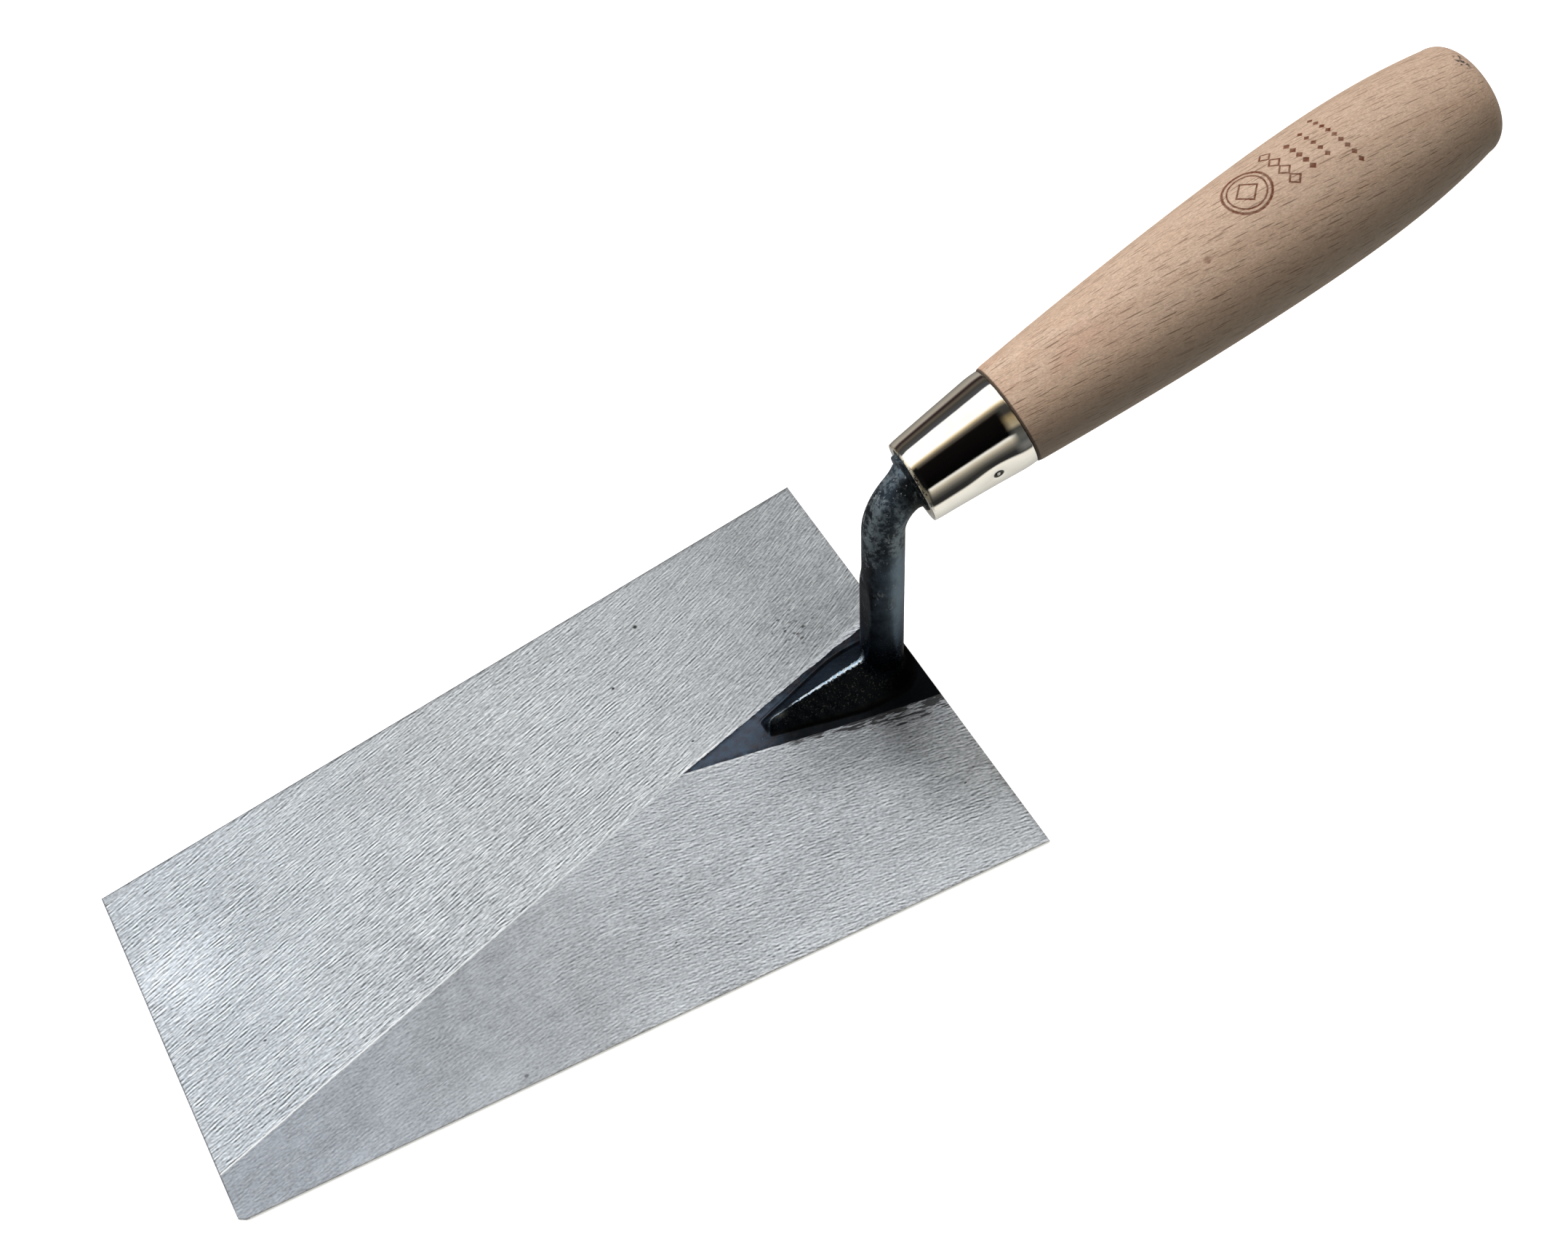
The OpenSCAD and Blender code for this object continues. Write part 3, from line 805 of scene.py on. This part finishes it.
def forged():
    t = Material("forged_black")
    x, y, z = t.xyz(t.mm)
    grain = t.noise(t.mm, 1.5, 4.0, 0.65)
    blotch = t.noise(t.mm, 0.22, 4.0, 0.6)
    t.colour = t.ramp(blotch, [(0.32, (0.010, 0.013, 0.018)), (0.52, (0.022, 0.031, 0.043)),
                               (0.72, (0.040, 0.056, 0.076))])[0]
    t.paint(t.span(grain, 0.5, 0.75, 0.0, 0.4), (0.055, 0.068, 0.084))
    # the front of the tongue shows the blue of the heated steel
    blue = t.span(x - t.span(y, 0.0, 3.0) * 8.0, 66.0, 50.0) * t.span(z, 2.4, 1.9)
    t.paint(blue * 0.8, t.mix(grain, (0.055, 0.076, 0.112), (0.105, 0.138, 0.19)))
    # the flanks of the boss kept more of the black scale than the tongue
    boss = t.span(z - abs(y) * 0.04, 1.95, 2.5) * t.span(z, 24.0, 12.0)
    t.paint(boss * 0.8, t.mix(grain, (0.003, 0.005, 0.009), (0.022, 0.031, 0.052)))
    # painted light: the boss's left flank, which faces the light, is painted lighter and bluer
    painted_lit_flank = boss * t.span(y - 0.12, 0.2, 1.2) * t.span(x, 84.0, 80.0, 0.6, 1.0)
    t.paint(painted_lit_flank * 0.85, t.mix(grain, (0.044, 0.063, 0.094), (0.145, 0.195, 0.29)))
    glint = boss * t.span(t.noise(t.mm, 2.3, 1.0, 0.5), 0.6, 0.68) * t.span(z, 2.6, 3.2)
    t.paint(glint * 0.6, (0.15, 0.175, 0.205))
    # the neck is greyer, painted lightest on its right as a painted reflection of the pale table, and is worn
    # to specks round the bend
    neck = t.span(z, 13.0, 33.0)
    aside = (x - t.fma(t.math("MINIMUM", z, 54.0), 0.098, 91.86)) * 0.87 - y * 0.49
    cloudy = t.noise(t.mm, 0.32, 3.0, 0.6)
    skin_and_reflection = t.mix(t.span(aside + (cloudy - 0.5) * 7.0, -3.0, 3.4), (0.007, 0.01, 0.015), (0.185, 0.262, 0.345))
    crazed = t.fma(t.noise(t.mm, 1.0, 3.0, 0.65) - 0.5, 0.8, cloudy)
    crazing = t.mix(t.span(crazed, 0.44, 0.62), (0.014, 0.021, 0.03), (0.205, 0.255, 0.288))
    skin_and_reflection = t.mix(t.span(z, 45.0, 51.0) * 0.8, skin_and_reflection, crazing)
    # the ferrule keeps the light off the right of the neck just in front of it
    gx, gy, gz = t.grip_axes()
    shade = t.span(gz, -6.5, -3.0) * t.span(gy - gx * 0.3, 2.2, -0.8)
    skin_and_reflection = t.mix(shade * 0.92, skin_and_reflection, (0.003, 0.004, 0.005))
    t.paint(neck, skin_and_reflection)
    worn = t.noise(t.scale(t.mm, (1.0, 1.0, 0.5)), 0.85, 4.0, 0.65)
    patch = t.span(t.noise(t.mm, 0.15, 2.0, 0.5), 0.44, 0.58)
    speck = t.span(worn, 0.56, 0.64) * patch * t.span(z, 24.0, 34.0)
    t.paint(speck * 0.75, (0.36, 0.4, 0.43))
    chip = t.span(t.fma(t.span(z, 40.0, 50.0), 0.05, t.noise(t.mm, 1.25, 2.0, 0.5)), 0.72, 0.76)
    t.paint(chip * t.span(z, 1.0, 30.0, 0.25, 0.8), (0.5, 0.53, 0.55))
    # scale has burnt off brown along the tongue's edges, and behind the neck lie soot and a painted shadow of
    # the neck
    low = t.span(z, 2.6, 1.9)
    rim = low * t.span(t.noise(t.mm, 0.5, 3.0), 0.42, 0.66)
    t.paint(rim * 0.45, (0.06, 0.044, 0.038))
    edge = low * t.span(abs(y) - t.span(x, TIP_X, 100.0) * 14.3, -1.3, -0.2)
    t.paint(edge * t.span(t.noise(t.mm, 0.6, 2.0), 0.35, 0.55) * 0.55, (0.01, 0.011, 0.014))
    soot_and_shadow = t.span(x + y * -0.35 + t.noise(t.mm, 0.4, 2.0) * 5.0, 87.0, 97.0) * t.span(z, 12.0, 4.0)
    t.paint(soot_and_shadow * 0.96, (0.0012, 0.0012, 0.0014))
    # the crest of the boss is rubbed to bright metal, painted bright as its highlight too, and the nose has a
    # painted highlight
    u = HEEL_X - x
    width = t.span(u, 13.0, 33.0, 0.80, 0.30)
    ragged = (t.noise(t.mm, 1.1, 3.0, 0.7) - 0.5) * 3.2
    line = t.span(abs(y - 0.12) + ragged * width, width, width * 0.7)
    crest = line * t.span(u, 12.4, 13.4) * t.span(u, 34.5, 31.0) * t.span(z, 3.4, 3.9)
    crest = crest * t.span(t.noise(t.mm, 1.1, 2.0), 0.36, 0.42)
    nose = t.bell(u, 37.4, 3.4) * t.span(abs(y - 0.1), 1.5, 0.1) * t.span(z, 2.6, 3.2) * 0.42
    bare_and_highlight = t.most(crest, nose)
    # thick scale down the right of the tongue, from the nose of the boss back
    crust = low * (y < 0.0) * t.span(x + t.noise(t.mm, 0.35, 3.0) * 12.0, 62.0, 70.0)
    t.paint(crust * 0.9, (0.004, 0.005, 0.006))
    # painted highlight on the crest and on the nose of the boss
    t.paint(bare_and_highlight * 0.95, t.mix(t.span(grain, 0.42, 0.58), (0.42, 0.62, 0.82), (0.88, 0.95, 1.0)))
    height = grain * 0.5 + blotch + speck * -0.4
    t.surface(Base_Color=t.colour, Metallic=t.fma(crest, -0.5, t.fma(neck, -0.42, 0.94)),
              Roughness=t.span(grain, 0.3, 0.7, 0.24, 0.36) + speck * 0.15 + soot_and_shadow * 0.15 + neck * 0.1,
              Normal=t.bump(height, 0.00022, 0.45), Specular_Tint=(0.35, 0.35, 0.35))
    return t.mat


def nickel():
    t = Material("bright_nickel")
    x, y, z = t.grip_axes()
    own = t.vec(x, y, z)
    scuff = t.noise(t.scale(own, (1.0, 1.0, 0.10)), 3.0, 3.0, 0.6)
    cloud = t.noise(own, 0.30, 3.0, 0.5)
    t.colour = t.mix(t.span(cloud, 0.3, 0.7), (0.9, 0.875, 0.83), (0.955, 0.94, 0.91))
    # dirt in the rolled edge, and a painted shadow in the dimple round the pin
    grime = t.span(z, 25.85, 26.1) * t.span(t.noise(own, 1.3, 3.0, 0.5), 0.42, 0.52)
    outward, across = turned(x, y, PIN_ANGLE)
    dimple = t.span(t.hyp(across, z - PIN_AT), 1.42, 1.16) * t.span(outward, 8.0, 9.0)
    grime_and_shadow = t.most(grime * 0.75, dimple * 0.98)
    t.paint(grime_and_shadow, (0.012, 0.011, 0.01))
    # the front edge is crumpled where it was spun over the collar
    spun = t.noise(t.scale(own, (1.0, 1.0, 2.0)), 0.9, 3.0, 0.6)
    crumple = t.span(z, 0.95, 0.6) * t.span(x, -2.0, -5.0)
    t.paint(crumple * t.span(spun, 0.42, 0.56), (0.96, 0.88, 0.66))
    t.paint(crumple * t.span(spun, 0.47, 0.38), (0.1, 0.085, 0.06))
    # the front edge was left as it was cut
    cut = t.span(z, 0.55, 0.15) * t.span(t.noise(own, 1.2, 2.0), 0.3, 0.5, 0.4, 1.0)
    t.surface(Base_Color=t.colour, Metallic=1.0,
              Roughness=t.span(scuff, 0.35, 0.75, 0.02, 0.09) + grime_and_shadow * 0.3 + cut * 0.25 + crumple * 0.3,
              Normal=t.bump(scuff + cut * t.noise(own, 2.0, 2.0) * 9.0, 0.00001, 0.25))
    return t.mat


def brad():
    t = Material("darkened_brad")
    x, y, z = t.grip_axes()
    _, across = turned(x, y, PIN_ANGLE)
    n = t.noise(t.mm, 2.2, 4.0, 0.6)
    t.colour = t.ramp(n, [(0.30, (0.62, 0.61, 0.59)), (0.60, (0.90, 0.89, 0.87))])[0]
    # painted shadow: the head is near black round its rim, where it sits down in the dimple
    t.paint(t.span(t.hyp(across, (z - PIN_AT) * 1.15), 0.46, 0.6), (0.006, 0.006, 0.006))
    t.surface(Base_Color=t.colour, Metallic=0.9, Roughness=t.span(n, 0.3, 0.7, 0.28, 0.5),
              Normal=t.bump(n, 0.00015, 0.4))
    return t.mat


def beech():
    t = Material("turned_beech")
    x, y, z = t.grip_axes()
    own = t.vec(x, y, z)
    # the grain runs a few degrees off the axis, and wanders a little along the handle
    sway = (t.noise(t.scale(own, (0.03, 0.03, 0.014)), 1.0, 2.0) - 0.5) * 10.0
    gx = x + sway + z * -0.09
    gy = y + sway + z * 0.13
    grain = t.vec(gx, gy, z)
    fibre = t.noise(t.scale(grain, (2.6, 2.6, 0.16)), 1.0, 3.0, 0.6)
    stripe = t.noise(t.scale(grain, (0.14, 0.26, 0.006)), 1.0, 3.0, 0.5)
    patch = t.noise(t.scale(own, (0.055, 0.055, 0.03)), 1.0, 3.0, 0.5)
    pore = t.noise(t.scale(grain, (3.4, 3.4, 1.3)), 1.0, 2.0, 0.7)
    t.colour = t.ramp(stripe, [(0.30, (0.615, 0.436, 0.322)), (0.50, (0.665, 0.484, 0.364)),
                               (0.70, (0.705, 0.527, 0.402))])[0]
    t.paint(t.span(fibre, 0.34, 0.72, 0.0, 0.5), (0.49, 0.338, 0.243))
    t.paint(t.span(patch, 0.5, 0.7, 0.0, 0.18), (0.58, 0.425, 0.332))
    # pinker heartwood towards the ferrule
    pink = t.span(z, 66.0, 30.0) * t.span(t.noise(t.scale(own, (0.12, 0.12, 0.05)), 1.0, 3.0), 0.5, 0.66)
    t.paint(pink * 0.5, (0.6, 0.315, 0.215))
    # painted light: the wood is painted darker towards the butt, where the light falls off
    t.shade(t.colour, t.span(pore, 0.28, 0.72, 0.76, 1.22) * t.span(z, 30.0, 130.0, 0.96, 0.84))
    # painted shade: greyer and darker along the underside, most of all behind the ferrule
    underside_shade = (x * 0.174 - y * 0.985) / t.hyp(x, y)
    t.paint(t.span(underside_shade, 0.62, 1.0) * t.span(z, 30.0, 75.0, 0.75, 0.58), (0.26, 0.222, 0.19))

    # flecks of the medullary rays: thin dark dashes along the grain, set out round the surface
    rx, ry = turned(x, y, math.radians(-145))
    arc = t.math("ARCTAN2", ry, rx) * 15.5 + z * -0.15 + sway * 0.12
    flecks = t.most(t.dashes(arc, z, (1.2, 6.0), (0.16, 2.3), 0.82),
                    t.dashes(arc, z, (0.8, 4.2), (0.13, 1.2), 0.4, 7.3) * 0.75)
    # on the end of the butt they are seen end on
    flecks = t.blend(t.span(z, 152.6, 153.6), flecks, t.dashes(gx, gy, (1.5, 1.9), (0.13, 0.45), 0.7) * 0.6)
    t.paint(flecks * t.span(t.noise(own, 0.1, 2.0), 0.35, 0.6, 0.58, 0.82), (0.165, 0.098, 0.064))

    # a plain burnt mark on top of the handle: a diamond in a double ring, and four rows of lozenges
    soft = (t.noise(t.mm, 1.7, 3.0) - 0.5) * 0.3

    def line(d, half):
        return t.span(abs(d) + soft, half + 0.15, half - 0.08)

    a, c = z - 95.8, y - 0.6
    ring = t.hyp(a, c)
    mark = t.most(line(ring - 5.6, 0.26), line(ring - 4.5, 0.16))
    mark = t.most(mark, line(abs(a) + abs(c) - 2.8, 0.26))
    # each row: where it is, its middle, and its count, pitch and size of lozenges
    for at, middle, count, pitch, size in ((105.0, 1.2, 4, 3.3, 1.45), (109.9, 0.5, 5, 2.1, 0.85),
                                           (114.1, 1.1, 5, 2.2, 0.70), (118.7, -0.3, 9, 2.0, 0.70)):
        d = y - middle
        cell = abs((t.math("FRACT", t.fma(d, 1 / pitch, count / 2 + 20)) - 0.5) * pitch)
        shape = cell + abs(z - at + d * 0.12) - size
        if size > 1:
            shape = abs(shape) - 0.26
        inside = abs(d) < count * pitch / 2
        mark = t.most(mark, t.span(shape + soft * 0.5, 0.14, -0.1) * inside)
    mark = mark * (x < 0.0)
    scorch = mark * t.span(t.noise(t.mm, 0.9, 3.0), 0.25, 0.65, 0.7, 1.0)
    t.paint(scorch, (0.13, 0.034, 0.014))
    # a small knock in the wood
    ka, kc = z - DENT_AT, (t.math("ARCTAN2", y, x) - DENT_ANGLE) * 16.3
    knock = t.bell(t.hyp(ka * 0.8, kc), 0.0, 1.05)
    shaded = t.bell(t.hyp(ka * 0.6, kc - 0.55), 0.0, 0.6)
    t.paint(knock * 0.6, (0.36, 0.19, 0.12))
    t.paint(shaded * 0.75, (0.12, 0.065, 0.045))

    # a dark scuff on the rim of the butt, and dirt where the wood meets the ferrule
    rim = t.span(t.hyp(z - 152.0, (y + 1.0) * 0.45), 1.3, 0.9) * (x < 0.0)
    scuff = rim * t.span(t.noise(t.mm, 0.9, 3.0), 0.47, 0.54)
    t.paint(scuff * 0.9, (0.03, 0.028, 0.028))
    joint = t.span(z, 26.85, 26.55)
    t.paint(joint * 0.85, (0.045, 0.03, 0.022))
    height = fibre * 0.35 + pore * 0.25 - (flecks * 0.5 + mark * 1.6 + knock * 2.2)
    t.surface(Base_Color=t.colour, Metallic=0.0, Roughness=t.span(fibre, 0.3, 0.7, 0.55, 0.70),
              Normal=t.bump(height, 0.00012, 0.6), Specular_IOR_Level=0.3)
    return t.mat


for piece, maker in zip(pieces.values(), (steel, forged, nickel, brad, beech)):
    piece.data.materials.append(maker())

# ---------------------------------------------------------------- floor, light and camera, in metres
FLOOR_Z, FLOOR_HALF = -0.0002, 6
floor_mesh = bpy.data.meshes.new("floor")
corners = [(x * FLOOR_HALF, y * FLOOR_HALF, FLOOR_Z) for x, y in ((-1, -1), (1, -1), (1, 1), (-1, 1))]
floor_mesh.from_pydata(corners, [], [(0, 1, 2, 3)])
floor = place("floor", floor_mesh)
# the object is lit from below by the studio's own white table, not by this plane, which only takes shadows
floor.visible_diffuse = floor.visible_glossy = floor.visible_shadow = False
paper = Material("pale_floor")
paper.surface(Base_Color=(0.94, 0.94, 0.94), Roughness=0.9, Emission_Color=(1, 1, 1), Emission_Strength=0.50,
              Specular_IOR_Level=0.0)
floor_mesh.materials.append(paper.mat)

# What the studio looks like all round the X axis, by the angle from +Y up towards +Z, in degrees: a wide soft
# box overhead and behind, a strip behind the camera, dark drapes between them, and a white table below.
BOX_LIGHT = 1.15
STUDIO = [
    (2, (0.26, 0.23, 0.205)), (6, (0.055, 0.035, 0.033)), (11, (0.022, 0.014, 0.014)),
    (15, (0.075, 0.058, 0.046)), (20, (0.115, 0.098, 0.078)), (27, (0.055, 0.051, 0.042)),
    (36, (0.068, 0.067, 0.072)), (43.2, (0.075, 0.074, 0.08)), (44.2, (1.15, 1.15, 1.15)),
    (87, (1.15, 1.15, 1.15)), (91, (0.95, 0.80, 0.52)), (95, (0.42, 0.34, 0.22)), (101, (0.115, 0.10, 0.08)),
    (109, (0.005, 0.004, 0.004)), (163, (0.001, 0.001, 0.001)), (167, (0.93, 0.91, 0.84)),
    (171, (0.76, 0.72, 0.61)), (175, (0.52, 0.46, 0.36)), (183, (0.235, 0.218, 0.180)),
    (192, (0.085, 0.080, 0.070)), (202, (0.026, 0.026, 0.026)), (214, (0.024, 0.024, 0.024)),
    (220, (0.93, 0.90, 0.81)), (237, (0.84, 0.82, 0.75)), (262, (0.64, 0.63, 0.58)),
    (290, (0.50, 0.485, 0.46)), (322, (0.245, 0.23, 0.205)), (334, (0.27, 0.25, 0.22)),
    (346, (0.36, 0.33, 0.285)), (354, (0.41, 0.37, 0.31))]
# what polished metal picks up past the end of the drapes, on the handle's side, and how far round it reaches
PAST_DRAPES = [
    (98, (0.05, 0.05, 0.045, 0)), (104, (0.05, 0.05, 0.045, 1)), (118, (0.04, 0.035, 0.03, 1)),
    (131, (0.30, 0.23, 0.12, 1)), (148, (0.37, 0.31, 0.21, 1)), (156, (0.06, 0.06, 0.055, 1)),
    (175, (0.11, 0.11, 0.10, 1)), (186, (0.085, 0.09, 0.09, 1)), (198, (0.17, 0.17, 0.165, 1)),
    (209, (0.14, 0.14, 0.135, 1)), (216, (0.14, 0.14, 0.135, 0))]


def in_turns(stops):
    """Stops in degrees as parts of a turn, with their light as a share of the soft box's."""
    return [(degrees / 360, (*[c / BOX_LIGHT for c in light[:3]], *light[3:])) for degrees, light in stops]


world = bpy.data.worlds.new("studio")
bpy.context.scene.world = world
world.use_nodes = True
w = Nodes(world.node_tree)
w.tree.nodes.clear()
direction = w.node("ShaderNodeTexCoord")[0]
_, north, high = w.xyz(direction)
turn = w.math("FRACT", w.math("ARCTAN2", high, north) / CIRCLE)
round_x, past, past_reach = w.ramp(turn, in_turns(STUDIO))[0], *w.ramp(turn, in_turns(PAST_DRAPES))
# ahead of the handle the drapes close right round; behind it they end
along_grip = w.vmath("DOT_PRODUCT", direction, tuple(ALONG))
light = w.mix(w.span(along_grip, -0.13, -0.18) * past_reach, round_x, (0.004, 0.004, 0.004))
light = w.mix(w.span(along_grip, -0.02, 0.11) * past_reach, light, past)
studio = w.node("ShaderNodeBackground", light, BOX_LIGHT)[0]
pale = w.node("ShaderNodeBackground", (0.96, 0.96, 0.96))[0]
pick = w.node("ShaderNodeMixShader", w.node("ShaderNodeLightPath")[0], studio, pale)[0]
w.node("ShaderNodeOutputWorld", pick)

# the same soft box as a lamp, for the matt surfaces: polished ones see it in the studio round them already
LAMP_POWER, LAMP_SIZE, LAMP_AWAY, LAMP_UP, LAMP_AIM = 19.0, (3.2, 1.0), 1.15, math.radians(65), (-0.05, 0, 0.05)
lamp_data = bpy.data.lights.new("soft_box", "AREA")
lamp_data.shape, lamp_data.energy = "RECTANGLE", LAMP_POWER
lamp_data.size, lamp_data.size_y = LAMP_SIZE
lamp = place("soft_box", lamp_data)
lamp.visible_glossy = lamp.visible_camera = False
away = Vector((0.0, math.cos(LAMP_UP), math.sin(LAMP_UP)))
lamp.matrix_world = (Matrix.Translation(Vector(LAMP_AIM) + away * LAMP_AWAY)
                     @ away.to_track_quat("Z", "X").to_matrix().to_4x4())

bpy.context.scene.view_settings.view_transform = "Standard"

# the camera, from the fit to the photograph
CAMERA_AT = Vector((-35.35, -291.90, 468.84)) * MM
CAMERA_RIGHT, CAMERA_BACK = Vector((0.86769, -0.48306, -0.11733)), Vector((-0.19670, -0.55039, 0.81141))
cam_data = bpy.data.cameras.new("camera")
cam_data.sensor_width, cam_data.lens = 36, 52.6
cam_data.clip_start, cam_data.clip_end = 0.01, 50
back = CAMERA_BACK.normalized()
up = back.cross(CAMERA_RIGHT).normalized()
cam = place("camera", cam_data)
cam.matrix_world = Matrix.Translation(CAMERA_AT) @ Matrix((up.cross(back), up, back)).transposed().to_4x4()
bpy.context.scene.camera = cam
